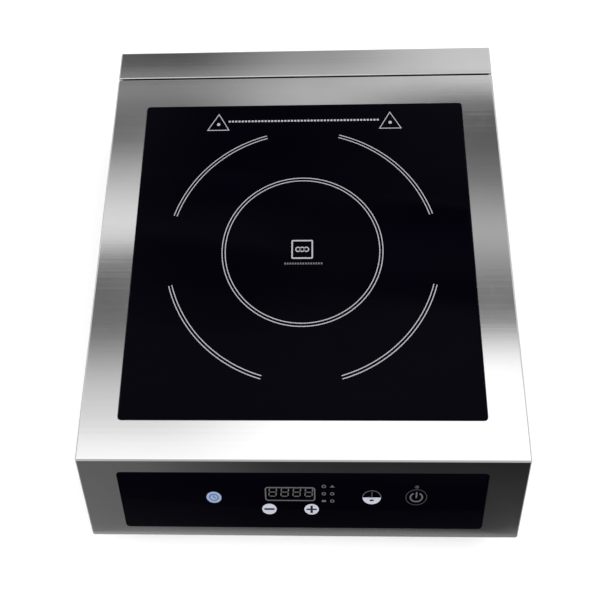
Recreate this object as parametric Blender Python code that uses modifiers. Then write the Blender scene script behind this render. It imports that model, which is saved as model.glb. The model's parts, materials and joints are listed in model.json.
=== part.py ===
"""Counter-top induction hob: folded steel housing, ceramic glass, coil, fans and touch controls.

Metres, +Z up, front towards -Y. The origin is on the ground, under the middle of the object.
"""
import math

import bmesh
import bpy
from mathutils import Matrix

# Housing
WIDTH = 0.340
TOP_DEPTH = 0.340          # steel surround of the glass, front bend to seam
SEAM = 0.0016
STRIP_DEPTH = 0.0288       # rear strip behind the seam
SLANT_RUN = 0.053          # how far the control face comes forward
SLANT_DROP = 0.059         # and how far it goes down
TOP_Z = 0.100
LIP_Z = 0.0235             # lower edge of the covers
BASE_Z = 0.020             # underside of the base tray
TRAY_WALL = 0.014
SHEET = 0.0008
BEND = 0.0016              # outer radius of the folds
SEAM_BEND = 0.0009         # tighter along the seam
LOW_BEND = 0.0032          # and wider under the control face
FLANGE = 0.012             # folded edges at the seam
GAP = 0.0003               # air left between neighbours
SLOT_STEPS = 3             # facets of each corner of a vent slot

# Glass
GLASS_SIDE = 0.280
GLASS_THICK = 0.004
GLASS_PROUD = 0.0005
GLASS_CORNER = 0.0025
REBATE = 0.0005            # joint between glass and steel
SEAL_THICK = 0.0009
LEDGE = 0.014              # how far the frame reaches under the glass

# Rear fittings
GLAND_OUT = 0.016          # how far the cable gland stands behind the back wall
GLAND_X = -0.125
STUD_X = 0.130
FITTING_Z = 0.050
SCREW_X = 0.155            # screws of the rear cover
SCREW_Z = 0.084

# Places along Y, from the whole depth
DEPTH = SLANT_RUN + TOP_DEPTH + SEAM + STRIP_DEPTH + GLAND_OUT
FRONT_Y = -DEPTH / 2
TOP_FRONT_Y = FRONT_Y + SLANT_RUN
SEAM_Y = TOP_FRONT_Y + TOP_DEPTH
REAR_Y = SEAM_Y + SEAM + STRIP_DEPTH
COIL_Y = TOP_FRONT_Y + TOP_DEPTH / 2

# Control face
PANEL_WIDTH = 0.280
PANEL_HEIGHT = 0.057
PANEL_CORNER = 0.0025
PANEL_MIDDLE = 0.041       # down the slant, from the top bend
PANEL_THICK = 0.003
TOUCH_KEYS = {"timer": (-0.068, 0.0035), "minus": (-0.0255, -0.0085), "plus": (0.0075, -0.0085),
              "mode": (0.0535, 0.0045), "power": (0.0875, 0.005)}
DISPLAY_AT = (-0.009, 0.0075)
LEDS_AT = (0.0202, 0.008)

# Coil stack, heights worked down from the glass
GLASS_UNDER = TOP_Z + GLASS_PROUD - GLASS_THICK
MICA_THICK = 0.0005
MICA_TOP = GLASS_UNDER - 0.0005
WIRE = 0.0052
COIL_Z = MICA_TOP - MICA_THICK - GAP - WIRE / 2
COIL_INNER = 0.030
COIL_PITCH = 0.0067
COIL_TURNS = 11
POINTS_PER_TURN = 14
FORMER_TOP = COIL_Z - WIRE / 2 - GAP
FORMER_THICK = 0.003
FORMER_RADIUS = 0.108
FORMER_BORE = 0.020
FERRITE = (0.060, 0.012, 0.005)
POST_REACH = 0.100
POST_RADIUS = 0.0035

# Fans
FAN_SIDE = 0.080
FAN_HEIGHT = 0.025
FAN_BORE = 0.076
FAN_X = 0.056
FAN_Y = -0.086
HUB_RADIUS = 0.015
BLADES = 7
BLADE_REACH = 0.0365
SHAFT_RADIUS = 0.0015
FLOOR_Z = BASE_Z + SHEET   # upper face of the tray
FAN_Z = FLOOR_Z + GAP

# Electronics, in the tray behind the fans
BOARD = (0.184, 0.130, 0.0016)
BOARD_Y = 0.034
BOARD_Z = FLOOR_Z + 0.0078
SINK = (0.080, 0.110, 0.030)
SINK_X = -0.040
SINK_Z = BOARD_Z + 0.0075
FINS = 10
FIN_THICK = 0.0016
SINK_BASE = 0.006

# Feet
FOOT_RADIUS = 0.014
FOOT_X = 0.138
FOOT_FRONT_Y = FRONT_Y + 0.034
FOOT_REAR_Y = REAR_Y - 0.034
FOOT_PLACES = [("front_left", -FOOT_X, FOOT_FRONT_Y), ("front_right", FOOT_X, FOOT_FRONT_Y),
               ("rear_left", -FOOT_X, FOOT_REAR_Y), ("rear_right", FOOT_X, FOOT_REAR_Y)]

for old in list(bpy.data.objects):
    bpy.data.objects.remove(old, do_unlink=True)

parts = bpy.data.collections.new("induction_hob")
cutters = bpy.data.collections.new("cutters")
for group in (parts, cutters):
    bpy.context.scene.collection.children.link(group)


def material(name, colour, roughness, metallic=0.0):
    made = bpy.data.materials.new(name)
    made.use_nodes = True
    shader = made.node_tree.nodes["Principled BSDF"]
    shader.inputs["Base Color"].default_value = (*colour, 1.0)
    shader.inputs["Roughness"].default_value = roughness
    shader.inputs["Metallic"].default_value = metallic
    return made


STEEL = material("brushed_steel", (0.62, 0.62, 0.63), 0.32, 1.0)
ZINC = material("zinc_steel", (0.55, 0.56, 0.58), 0.38, 1.0)
CERAMIC = material("black_ceramic_glass", (0.010, 0.011, 0.014), 0.06)
SILICONE = material("black_silicone", (0.02, 0.02, 0.02), 0.6)
MICA = material("mica", (0.62, 0.52, 0.38), 0.6)
COPPER = material("litz_copper", (0.72, 0.34, 0.16), 0.35, 1.0)
FORMER_PLASTIC = material("former_plastic", (0.09, 0.09, 0.09), 0.5)
FERRITE_GREY = material("ferrite", (0.08, 0.08, 0.085), 0.55)
FAN_PLASTIC = material("fan_plastic", (0.03, 0.03, 0.032), 0.45)
BOARD_GREEN = material("board_green", (0.03, 0.16, 0.07), 0.4)
ALUMINIUM = material("aluminium", (0.75, 0.76, 0.78), 0.35, 1.0)
EPOXY = material("black_epoxy", (0.025, 0.025, 0.027), 0.5)
FILM_CASE = material("capacitor_case", (0.55, 0.10, 0.07), 0.4)
RUBBER = material("foot_rubber", (0.025, 0.025, 0.025), 0.75)
NYLON = material("grey_nylon", (0.12, 0.12, 0.125), 0.5)
FOAM = material("conductive_foam", (0.10, 0.10, 0.11), 0.85)
BRASS = material("brass", (0.78, 0.60, 0.27), 0.3, 1.0)
WHITE_PLASTIC = material("white_plastic", (0.75, 0.75, 0.73), 0.45)


def place(name, data, finish, at=(0, 0, 0), turn=(0, 0, 0), parent=None):
    """A named part from a mesh or curve."""
    obj = bpy.data.objects.new(name, data)
    if not data.materials:
        data.materials.append(finish)
    obj.location = at
    obj.rotation_euler = turn
    obj.parent = parent
    parts.objects.link(obj)
    return obj


def cutter(name, data, at=(0, 0, 0), turn=(0, 0, 0), parent=None):
    obj = bpy.data.objects.new(name, data)
    obj.location = at
    obj.rotation_euler = turn
    obj.parent = parent
    obj.hide_render = True
    obj.display_type = "WIRE"
    cutters.objects.link(obj)
    return obj


def combine(obj, other, operation):
    step = obj.modifiers.new(operation.lower(), "BOOLEAN")
    step.operation = operation
    step.object = other


def soften(obj, width, segments=1):
    step = obj.modifiers.new("bevel", "BEVEL")
    step.width = width
    step.segments = segments
    step.limit_method = "ANGLE"
    step.angle_limit = math.radians(30)


def to_mesh(name, bm, smooth=False):
    bmesh.ops.recalc_face_normals(bm, faces=bm.faces)
    mesh = bpy.data.meshes.new(name)
    bm.to_mesh(mesh)
    bm.free()
    if smooth:
        mesh.shade_smooth()
        mesh.set_sharp_from_angle(angle=math.radians(35))
    return mesh


def box(name, size, corner=0.0, segments=4):
    """A block about its own centre, its four upright edges rounded to the corner radius."""
    bm = bmesh.new()
    bmesh.ops.create_cube(bm, size=1.0)
    bmesh.ops.scale(bm, vec=size, verts=bm.verts)
    if corner:
        upright = [e for e in bm.edges if abs((e.verts[0].co - e.verts[1].co).z) > size[2] / 2]
        bmesh.ops.bevel(bm, geom=upright, offset=corner, segments=segments, profile=0.5,
                        affect="EDGES")
    return to_mesh(name, bm, smooth=bool(corner))


def cylinder(name, radius, depth, segments=24, sides_smooth=True):
    bm = bmesh.new()
    bmesh.ops.create_cone(bm, cap_ends=True, segments=segments, radius1=radius, radius2=radius,
                          depth=depth)
    return to_mesh(name, bm, smooth=sides_smooth)


def many(name, mesh, places):
    """One mesh holding a separate copy of another at each place."""
    bm = bmesh.new()
    for matrix in places:
        copy = mesh.copy()
        copy.transform(matrix)
        bm.from_mesh(copy)
        bpy.data.meshes.remove(copy)
    return to_mesh(name, bm)


def turned(name, profile, finish, steps=20, closed=False, **where):
    """A turned part: its profile is (radius, height) points down the outer side."""
    mesh = bpy.data.meshes.new(name)
    last = len(profile)
    edges = [(i, (i + 1) % last) for i in range(last if closed else last - 1)]
    mesh.from_pydata([(r, 0, z) for r, z in profile], edges, [])
    obj = place(name, mesh, finish, **where)
    screw = obj.modifiers.new("screw", "SCREW")
    screw.steps = steps
    screw.render_steps = steps
    screw.use_merge_vertices = True
    screw.merge_threshold = 0.00001
    return obj


def outline_curve(name, points, half_depth):
    """A flat outline, thickened both ways."""
    curve = bpy.data.curves.new(name, "CURVE")
    curve.dimensions = "2D"
    curve.fill_mode = "BOTH"
    curve.extrude = half_depth
    spline = curve.splines.new("POLY")
    spline.points.add(len(points) - 1)
    for point, (x, y) in zip(spline.points, points):
        point.co = (x, y, 0, 1)
    spline.use_cyclic_u = True
    return curve


def side_prism(name, points, half_width):
    """A mesh whose (y, z) outline is carried across the width."""
    guide = bpy.data.objects.new(name, outline_curve(name, points, half_width))
    cutters.objects.link(guide)
    bpy.context.view_layer.update()
    seen = guide.evaluated_get(bpy.context.evaluated_depsgraph_get())
    mesh = bpy.data.meshes.new_from_object(seen)
    mesh.materials.clear()
    bpy.data.objects.remove(guide, do_unlink=True)
    mesh.transform(Matrix(((0, 0, 1, 0), (1, 0, 0, 0), (0, 1, 0, 0), (0, 0, 0, 1))))
    bm = bmesh.new()
    bm.from_mesh(mesh)
    bpy.data.meshes.remove(mesh)
    bmesh.ops.remove_doubles(bm, verts=bm.verts, dist=0.00001)
    return bm


def fold_radius(edge, seam_y):
    """The seam's folds are tight and the one under the control face is wide."""
    if edge.calc_face_angle(0) < math.radians(30):
        return 0.0
    if seam_y is not None and all(abs(v.co.y - seam_y) < 0.0001 for v in edge.verts):
        return SEAM_BEND
    corner_z = TOP_Z - SLANT_DROP
    if all(abs(v.co.y - FRONT_Y) + abs(v.co.z - corner_z) < 0.0001 for v in edge.verts):
        return LOW_BEND
    return BEND


def folded(name, bm, open_faces, seam_y=None):
    """A folded sheet part: the block's open faces go, its edges bend and it gets a thickness."""
    bmesh.ops.recalc_face_normals(bm, faces=bm.faces)
    bmesh.ops.delete(bm, geom=[f for f in bm.faces if open_faces(f)], context="FACES")
    weights = bm.edges.layers.float.new("bevel_weight_edge")
    for edge in bm.edges:
        edge[weights] = fold_radius(edge, seam_y) / LOW_BEND
    mesh = bpy.data.meshes.new(name)
    bm.to_mesh(mesh)
    bm.free()
    mesh.shade_smooth()
    obj = place(name, mesh, STEEL)
    soften(obj, LOW_BEND, 4)
    obj.modifiers["bevel"].limit_method = "WEIGHT"
    shell = obj.modifiers.new("sheet", "SOLIDIFY")
    shell.thickness = SHEET
    shell.offset = -1.0
    shell.use_even_offset = True
    return obj


def keep_flange(bm):
    """Split the walls at a seam, so that only a narrow flange of the upright face stays.

    The second split ends the bend of the flange's corners just below it.
    """
    for height in (TOP_Z - FLANGE, TOP_Z - FLANGE - 2 * SEAM_BEND):
        whole = list(bm.verts) + list(bm.edges) + list(bm.faces)
        bmesh.ops.bisect_plane(bm, geom=whole, plane_co=(0, 0, height), plane_no=(0, 0, 1))


def slots(name, size, places):
    """Cutter for round-ended slots: size is (x, y, z) of one slot before it is placed."""
    slot = box(name + "_slot", size, min(size[0], size[1]) * 0.49, SLOT_STEPS)
    return many(name, slot, places)


# Control face frame: X across, Y up the slant, Z out of the face
slant_length = math.hypot(SLANT_RUN, SLANT_DROP)
slant_tilt = math.atan2(SLANT_DROP, SLANT_RUN)
panel_frame = bpy.data.objects.new("control_face", None)
panel_frame.location = (0, TOP_FRONT_Y - PANEL_MIDDLE * SLANT_RUN / slant_length,
                        TOP_Z - PANEL_MIDDLE * SLANT_DROP / slant_length)
panel_frame.rotation_euler = (slant_tilt, 0, 0)
parts.objects.link(panel_frame)


def make_top_cover():
    outline = [(FRONT_Y, LIP_Z), (FRONT_Y, TOP_Z - SLANT_DROP), (TOP_FRONT_Y, TOP_Z),
               (SEAM_Y, TOP_Z), (SEAM_Y, LIP_Z)]
    bm = side_prism("top_cover", outline, WIDTH / 2)
    bmesh.ops.dissolve_limit(bm, angle_limit=0.01, verts=bm.verts, edges=bm.edges)
    keep_flange(bm)

    def is_open(face):
        centre = face.calc_center_median()
        below_flange = abs(centre.y - SEAM_Y) < 0.0001 and centre.z < TOP_Z - FLANGE
        return below_flange or abs(centre.z - LIP_Z) < 0.0001

    cover = folded("top_cover", bm, is_open, SEAM_Y)
    opening = box("glass_opening", (GLASS_SIDE + 2 * REBATE, GLASS_SIDE + 2 * REBATE, 0.02),
                  GLASS_CORNER + REBATE)
    combine(cover, cutter("glass_opening", opening, (0, COIL_Y, TOP_Z)), "DIFFERENCE")
    window = box("panel_opening", (PANEL_WIDTH + 2 * REBATE, PANEL_HEIGHT + 2 * REBATE, 0.012),
                 PANEL_CORNER + REBATE, 3)
    combine(cover, cutter("panel_opening", window, parent=panel_frame), "DIFFERENCE")


def make_rear_cover():
    front, back = SEAM_Y + SEAM, REAR_Y
    outline = [(front, LIP_Z), (front, TOP_Z), (back, TOP_Z), (back, LIP_Z)]
    bm = side_prism("rear_cover", outline, WIDTH / 2)
    bmesh.ops.dissolve_limit(bm, angle_limit=0.01, verts=bm.verts, edges=bm.edges)
    keep_flange(bm)

    def is_open(face):
        centre = face.calc_center_median()
        below_flange = abs(centre.y - front) < 0.0001 and centre.z < TOP_Z - FLANGE
        return below_flange or abs(centre.z - LIP_Z) < 0.0001

    cover = folded("rear_cover", bm, is_open, front)
    wall = (0, REAR_Y, 0)
    rows = [Matrix.Translation((x * 0.012, 0, z)) for x in range(-6, 7) for z in (0.048, 0.076)]
    upright = Matrix.Rotation(math.radians(90), 4, "X")
    vents = slots("rear_vents", (0.005, 0.022, 0.01), [spot @ upright for spot in rows])
    combine(cover, cutter("rear_vents", vents, wall), "DIFFERENCE")
    holes = cylinder("rear_hole", 0.0083, 0.01, 20)
    gland = many("gland_hole", holes, [Matrix.Translation((GLAND_X, 0, FITTING_Z)) @ upright])
    combine(cover, cutter("gland_hole", gland, wall), "DIFFERENCE")
    stud = cylinder("stud_hole_one", 0.0033, 0.01, 16)
    screws = [(STUD_X, FITTING_Z), (-SCREW_X, SCREW_Z), (SCREW_X, SCREW_Z)]
    small = many("stud_hole", stud, [Matrix.Translation((x, 0, z)) @ upright for x, z in screws])
    combine(cover, cutter("stud_hole", small, wall), "DIFFERENCE")


def make_base_tray():
    inset = SHEET + GAP
    half = WIDTH / 2 - inset
    low, high = FRONT_Y + inset, REAR_Y - inset
    bm = bmesh.new()
    bmesh.ops.create_cube(bm, size=1.0)
    bmesh.ops.scale(bm, vec=(2 * half, high - low, TRAY_WALL), verts=bm.verts)
    bmesh.ops.translate(bm, vec=(0, (low + high) / 2, BASE_Z + TRAY_WALL / 2), verts=bm.verts)
    brim = BASE_Z + TRAY_WALL - 0.0001
    tray = folded("base_tray", bm, lambda face: face.calc_center_median().z > brim)
    rows = [Matrix.Translation((side * FAN_X + step * 0.009, FAN_Y, BASE_Z))
            for side in (-1, 1) for step in range(-3, 4)]
    rows += [Matrix.Translation((step * 0.012, 0.155, BASE_Z)) for step in range(-5, 6)]
    intake = [m @ Matrix.Diagonal((1, 1 if m.translation.y < 0 else 0.45, 1, 1)) for m in rows]
    vents = slots("intake_vents", (0.0045, 0.060, 0.01), intake)
    combine(tray, cutter("intake_vents", vents), "DIFFERENCE")
    hole = cylinder("foot_hole_one", 0.0025, 0.01, 12)
    holes = many("foot_holes", hole, [Matrix.Translation((x, y, BASE_Z)) for _, x, y in FOOT_PLACES])
    combine(tray, cutter("foot_holes", holes), "DIFFERENCE")


def make_feet():
    top = BASE_Z - GAP
    foot = [(0.0025, top), (FOOT_RADIUS - 0.001, top), (FOOT_RADIUS, top - 0.001),
            (FOOT_RADIUS - 0.002, 0.0015), (FOOT_RADIUS - 0.0035, 0), (0.0060, 0), (0.0060, 0.011),
            (0.0025, 0.011)]
    head = 0.0107
    screw = [(0, FLOOR_Z + 0.006), (0.0014, FLOOR_Z + 0.006), (0.0019, FLOOR_Z + 0.0055),
             (0.0019, head), (0.0042, head), (0.0042, head - 0.0014), (0.0030, head - 0.0024),
             (0, head - 0.0027)]
    for where, x, y in FOOT_PLACES:
        turned("foot_" + where, foot, RUBBER, closed=True, at=(x, y, 0))
        turned("foot_screw_" + where, screw, ZINC, 12, at=(x, y, 0))


def make_glass():
    middle = TOP_Z + GLASS_PROUD - GLASS_THICK / 2
    glass = box("glass_top", (GLASS_SIDE, GLASS_SIDE, GLASS_THICK), GLASS_CORNER)
    soften(place("glass_top", glass, CERAMIC, (0, COIL_Y, middle)), 0.0006)
    seal_z = GLASS_UNDER - GAP - SEAL_THICK / 2
    seal = box("glass_seal", (GLASS_SIDE - 0.001, GLASS_SIDE - 0.001, SEAL_THICK), GLASS_CORNER)
    inner = GLASS_SIDE - 0.018
    bore = box("seal_bore", (inner, inner, 0.01), GLASS_CORNER)
    ring = place("glass_seal", seal, SILICONE, (0, COIL_Y, seal_z))
    combine(ring, cutter("seal_bore", bore, (0, COIL_Y, seal_z)), "DIFFERENCE")


def make_glass_frame():
    """Stepped frame: its outer flange is spot-welded under the cover, the glass lies on its ledge."""
    flange_top = TOP_Z - SHEET - GAP
    ledge_top = GLASS_UNDER - 2 * GAP - SEAL_THICK
    under = ledge_top - SHEET
    outer = GLASS_SIDE + 0.020
    well = GLASS_SIDE + 0.003
    ledge = GLASS_SIDE - 2 * LEDGE
    block = box("glass_frame", (outer, outer, flange_top - under), 0.004, 2)
    frame = place("glass_frame", block, ZINC, (0, COIL_Y, (flange_top + under) / 2))
    recess = box("frame_recess", (well, well, 0.01), 0.004, 2)
    combine(frame, cutter("frame_recess", recess, (0, COIL_Y, ledge_top + 0.005)), "DIFFERENCE")
    mouth = box("frame_mouth", (ledge, ledge, 0.02), 0.004, 2)
    combine(frame, cutter("frame_mouth", mouth, (0, COIL_Y, under)), "DIFFERENCE")


def make_coil():
    sheet = place("mica_sheet", box("mica_sheet", (0.246, 0.246, MICA_THICK)), MICA,
                  (0, COIL_Y, MICA_TOP - MICA_THICK / 2))
    eye = cylinder("mica_eye", 0.0045, 0.01, 16)
    combine(sheet, cutter("mica_eye", eye, (0, COIL_Y, MICA_TOP)), "DIFFERENCE")

    curve = bpy.data.curves.new("coil_winding", "CURVE")
    curve.dimensions = "3D"
    curve.bevel_depth = WIRE / 2
    curve.bevel_resolution = 2
    curve.use_fill_caps = True
    count = COIL_TURNS * POINTS_PER_TURN + 1
    spline = curve.splines.new("POLY")
    spline.points.add(count - 1)
    for index, point in enumerate(spline.points):
        turn = index / POINTS_PER_TURN
        radius = COIL_INNER + COIL_PITCH * turn
        angle = 2 * math.pi * turn
        point.co = (radius * math.cos(angle), radius * math.sin(angle), 0, 1)
    place("coil_winding", curve, COPPER, (0, COIL_Y, COIL_Z))

    low = FORMER_TOP - FORMER_THICK
    former = [(FORMER_BORE, FORMER_TOP), (FORMER_RADIUS, FORMER_TOP), (FORMER_RADIUS, low),
              (FORMER_BORE, low)]
    turned("coil_former", former, FORMER_PLASTIC, 40, closed=True, at=(0, COIL_Y, 0))

    reach = 0.030 + FERRITE[0] / 2
    for index in range(4):
        angle = math.radians(45 + 90 * index)
        spot = (reach * math.cos(angle), COIL_Y + reach * math.sin(angle),
                low - GAP - FERRITE[2] / 2)
        bar = place("ferrite_bar_%d" % (index + 1), box("ferrite_bar", FERRITE), FERRITE_GREY,
                    spot, (0, 0, angle))
        soften(bar, 0.0006)

    holder = [(0.0038, FORMER_TOP + 0.004), (0.010, FORMER_TOP + 0.004), (0.0190, FORMER_TOP),
              (0.0190, low - 0.002), (0.0038, low - 0.002)]
    turned("sensor_holder", holder, WHITE_PLASTIC, 20, closed=True, at=(0, COIL_Y, 0))
    tip = GLASS_UNDER - 0.0004
    bead = [(0, tip), (0.0028, tip), (0.0034, tip - 0.0006), (0.0034, low + 0.001), (0, low + 0.001)]
    turned("thermistor", bead, BRASS, 16, at=(0, COIL_Y, 0))

    foot, head = FLOOR_Z + GAP, low - GAP
    for index, degrees in enumerate((0, 180, 270)):
        angle = math.radians(degrees)
        post = cylinder("coil_post", POST_RADIUS, head - foot, 16)
        place("coil_post_%d" % (index + 1), post, ZINC,
              (POST_REACH * math.cos(angle), COIL_Y + POST_REACH * math.sin(angle), (head + foot) / 2))


def make_fan(side, x):
    frame_mesh = box("fan_frame", (FAN_SIDE, FAN_SIDE, FAN_HEIGHT), 0.004, 2)
    middle = FAN_Z + FAN_HEIGHT / 2
    frame = place("fan_frame_" + side, frame_mesh, FAN_PLASTIC, (x, FAN_Y, middle))
    bore = cylinder("fan_bore", FAN_BORE / 2, 0.04, 32)
    combine(frame, cutter("fan_bore_" + side, bore, (x, FAN_Y, middle)), "DIFFERENCE")
    top = FAN_Z + FAN_HEIGHT
    plate = 0.0025
    spokes = box("fan_spokes_" + side, (FAN_BORE + 0.002, 0.004, plate))
    turns = [Matrix.Rotation(math.radians(45 + 90 * step), 4, "Z") for step in range(2)]
    for index, turn in enumerate(turns):
        spoke = many("fan_spoke", spokes, [turn])
        name = "fan_spoke_%s_%d" % (side, index)
        combine(frame, cutter(name, spoke, (x, FAN_Y, top - plate / 2)), "UNION")
    hub = cylinder("fan_hub_plate", HUB_RADIUS, plate, 20)
    combine(frame, cutter("fan_hub_plate_" + side, hub, (x, FAN_Y, top - plate / 2)), "UNION")
    bearing = cylinder("fan_bearing", SHAFT_RADIUS + GAP, 0.01, 12)
    combine(frame, cutter("fan_bearing_" + side, bearing, (x, FAN_Y, top)), "DIFFERENCE")

    hub_top = top - plate - 0.001
    hub_low = FAN_Z + 0.003
    hub_mid = (hub_top + hub_low) / 2
    rotor_hub = cylinder("fan_rotor", HUB_RADIUS, hub_top - hub_low, 24)
    rotor = place("fan_rotor_" + side, rotor_hub, FAN_PLASTIC, (x, FAN_Y, hub_mid))
    length = BLADE_REACH - HUB_RADIUS + 0.003
    blade = box("fan_blade", (length, 0.0016, 0.020))
    pitch = Matrix.Rotation(math.radians(38), 4, "X")
    out = Matrix.Translation((BLADE_REACH - length / 2, 0, 0))
    spots = [Matrix.Rotation(2 * math.pi * step / BLADES, 4, "Z") @ out @ pitch
             for step in range(BLADES)]
    blades = many("fan_blades", blade, spots)
    combine(rotor, cutter("fan_blades_" + side, blades, (x, FAN_Y, hub_mid)), "UNION")
    bore = cylinder("rotor_bore", SHAFT_RADIUS + GAP, 0.04, 12)
    combine(rotor, cutter("rotor_bore_" + side, bore, (x, FAN_Y, hub_mid)), "DIFFERENCE")
    shaft = cylinder("fan_shaft", SHAFT_RADIUS, top - hub_low, 12)
    place("fan_shaft_" + side, shaft, ZINC, (x, FAN_Y, (top + hub_low) / 2))


def block(name, finish, size, x, y, low, corner=0.0, edge=0.0005):
    """A component standing on the height `low`."""
    obj = place(name, box(name, size, corner, 3), finish, (x, y, low + size[2] / 2))
    if edge:
        soften(obj, edge)
    return obj


def make_power_stage():
    base = BOARD_Z - 0.003
    carrier = block("board_carrier", FORMER_PLASTIC, (0.176, 0.122, base - GAP - FLOOR_Z - GAP), 0,
                    BOARD_Y, FLOOR_Z + GAP)
    hollow = box("carrier_hollow", (0.150, 0.096, 0.03))
    combine(carrier, cutter("carrier_hollow", hollow, (0, BOARD_Y, base)), "DIFFERENCE")
    block("power_board", BOARD_GREEN, BOARD, 0, BOARD_Y, base, edge=0)
    on_board = base + BOARD[2] + GAP
    for name, x, y in (("transistor_left", -0.062, 0.020), ("transistor_right", -0.030, 0.020),
                       ("rectifier", -0.046, 0.060)):
        block(name, EPOXY, (0.020, 0.026, 0.005), x, y, on_board)
    make_heat_sink(on_board + 0.005 + GAP)
    block("resonance_capacitor", FILM_CASE, (0.042, 0.022, 0.034), 0.032, 0.074, on_board, 0.001)
    block("link_capacitor", FILM_CASE, (0.034, 0.018, 0.028), 0.030, 0.040, on_board, 0.001)
    can = [(0, on_board + 0.030), (0.0082, on_board + 0.030), (0.009, on_board + 0.0292),
           (0.009, on_board), (0, on_board)]
    turned("smoothing_capacitor", can, EPOXY, 20, at=(0.072, 0.044, 0))
    block("aux_transformer", FERRITE_GREY, (0.026, 0.024, 0.022), 0.072, 0.080, on_board)


def make_heat_sink(low):
    """A comb outline carried along Y."""
    width, length, height = SINK
    pitch = (width - FIN_THICK) / (FINS - 1)
    outline = [(-width / 2, 0), (width / 2, 0)]
    for fin in range(FINS - 1, -1, -1):
        left = -width / 2 + fin * pitch
        outline += [(left + FIN_THICK, SINK_BASE), (left + FIN_THICK, height), (left, height),
                    (left, SINK_BASE)]
    outline = [outline[0], outline[1]] + outline[3:-1]
    curve = outline_curve("heat_sink", outline, length / 2)
    place("heat_sink", curve, ALUMINIUM, (SINK_X, BOARD_Y, low), (math.radians(90), 0, 0))


def make_mains_side():
    block("filter_board", BOARD_GREEN, (0.056, 0.050, 0.0016), -0.128, 0.120, FLOOR_Z + 0.006, edge=0)
    on_board = FLOOR_Z + 0.006 + 0.0016 + GAP
    bm = bmesh.new()
    bmesh.ops.create_cone(bm, cap_ends=True, segments=20, radius1=0.014, radius2=0.014, depth=0.014)
    choke = place("filter_choke", to_mesh("filter_choke", bm, True), COPPER,
                  (-0.134, 0.116, on_board + 0.007))
    soften(choke, 0.002, 2)
    eye = cylinder("choke_eye", 0.006, 0.03, 14)
    combine(choke, cutter("choke_eye", eye, (-0.134, 0.116, on_board)), "DIFFERENCE")
    block("terminal_block", WHITE_PLASTIC, (0.040, 0.020, 0.018), -0.100, 0.166, FLOOR_Z + GAP)

    quarter = math.radians(-90)
    back = REAR_Y + GAP
    out = GLAND_OUT - GAP
    gland = [(0.0045, out), (0.0085, out), (0.0100, out - 0.0015), (0.0100, 0.006), (0.0118, 0.0055),
             (0.0118, 0), (0.0080, 0), (0.0080, -0.011), (0.0045, -0.011)]
    turned("cable_gland", gland, NYLON, 24, closed=True, at=(GLAND_X, back, FITTING_Z),
           turn=(quarter, 0, 0))
    nut = place("gland_nut", cylinder("gland_nut", 0.0125, 0.004, 6, False), NYLON,
                (GLAND_X, REAR_Y - SHEET - GAP - 0.002, FITTING_Z), (quarter, 0, 0))
    soften(nut, 0.0005)
    thread = cylinder("nut_thread", 0.0083, 0.02, 20)
    combine(nut, cutter("nut_thread", thread, (GLAND_X, REAR_Y, FITTING_Z), (quarter, 0, 0)),
            "DIFFERENCE")


def make_rear_fasteners():
    quarter = math.radians(-90)
    back = REAR_Y + GAP
    stud = [(0, 0.013), (0.0024, 0.013), (0.003, 0.0124), (0.003, 0.0062), (0.0055, 0.0062),
            (0.0055, 0.0014), (0.0075, 0.0014), (0.0075, 0), (0.003, 0), (0.003, -0.008), (0, -0.008)]
    turned("bonding_stud", stud, BRASS, 18, at=(STUD_X, back, FITTING_Z), turn=(quarter, 0, 0))
    screw = [(0, 0.0024), (0.0018, 0.0022), (0.0032, 0.0013), (0.0036, 0), (0.0019, 0),
             (0.0019, -0.007), (0.0012, -0.008), (0, -0.008)]
    for side, x in (("left", -SCREW_X), ("right", SCREW_X)):
        name = "rear_screw_" + side
        made = turned(name, screw, ZINC, 18, at=(x, back, SCREW_Z), turn=(quarter, 0, 0))
        for tag, size in (("a", (0.0032, 0.0007, 0.0020)), ("b", (0.0007, 0.0032, 0.0020))):
            bar = box(name + "_recess", size)
            spot = (x, back + 0.0025, SCREW_Z)
            combine(made, cutter(name + "_recess_" + tag, bar, spot, (quarter, 0, 0)), "DIFFERENCE")


def panel_part(name, finish, size, spot, top, edge=0.0003, corner=0.0):
    """A piece parallel to the control face, its upper side at the height `top` over the face."""
    obj = place(name, box(name, size, corner, 3), finish, (spot[0], spot[1], top - size[2] / 2),
                parent=panel_frame)
    if edge:
        soften(obj, edge)
    return obj


def make_controls():
    panel_part("control_glass", CERAMIC, (PANEL_WIDTH, PANEL_HEIGHT, PANEL_THICK), (0, 0), GAP,
               0.0004, PANEL_CORNER)
    under = GAP - PANEL_THICK
    carrier_top = under - GAP
    carrier = panel_part("control_carrier", FORMER_PLASTIC, (0.292, 0.066, 0.002), (0, 0), carrier_top)
    mouth = box("carrier_mouth", (0.262, 0.046, 0.02))
    combine(carrier, cutter("carrier_mouth", mouth, (0, 0, under), parent=panel_frame), "DIFFERENCE")
    board_top = under - 0.0088
    panel_part("control_board", BOARD_GREEN, (0.252, 0.044, 0.0016), (0, 0), board_top, 0)
    above = board_top + GAP
    tall = under - GAP - above
    panel_part("display_module", EPOXY, (0.040, 0.016, tall), DISPLAY_AT, under - GAP)
    panel_part("indicator_guide", EPOXY, (0.013, 0.022, tall), LEDS_AT, under - GAP)
    waist = [(0, tall), (0.0045, tall), (0.0038, tall / 2), (0.0045, 0), (0, 0)]
    for key, (x, y) in TOUCH_KEYS.items():
        turned("touch_pad_" + key, waist, FOAM, 14, at=(x, y, above), parent=panel_frame)


make_top_cover()
make_rear_cover()
make_base_tray()
make_feet()
make_glass()
make_glass_frame()
make_coil()
make_fan("left", -FAN_X)
make_fan("right", FAN_X)
make_power_stage()
make_mains_side()
make_rear_fasteners()
make_controls()
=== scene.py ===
import json
import math

import bmesh
import bpy
from mathutils import Matrix, Quaternion, Vector


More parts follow.
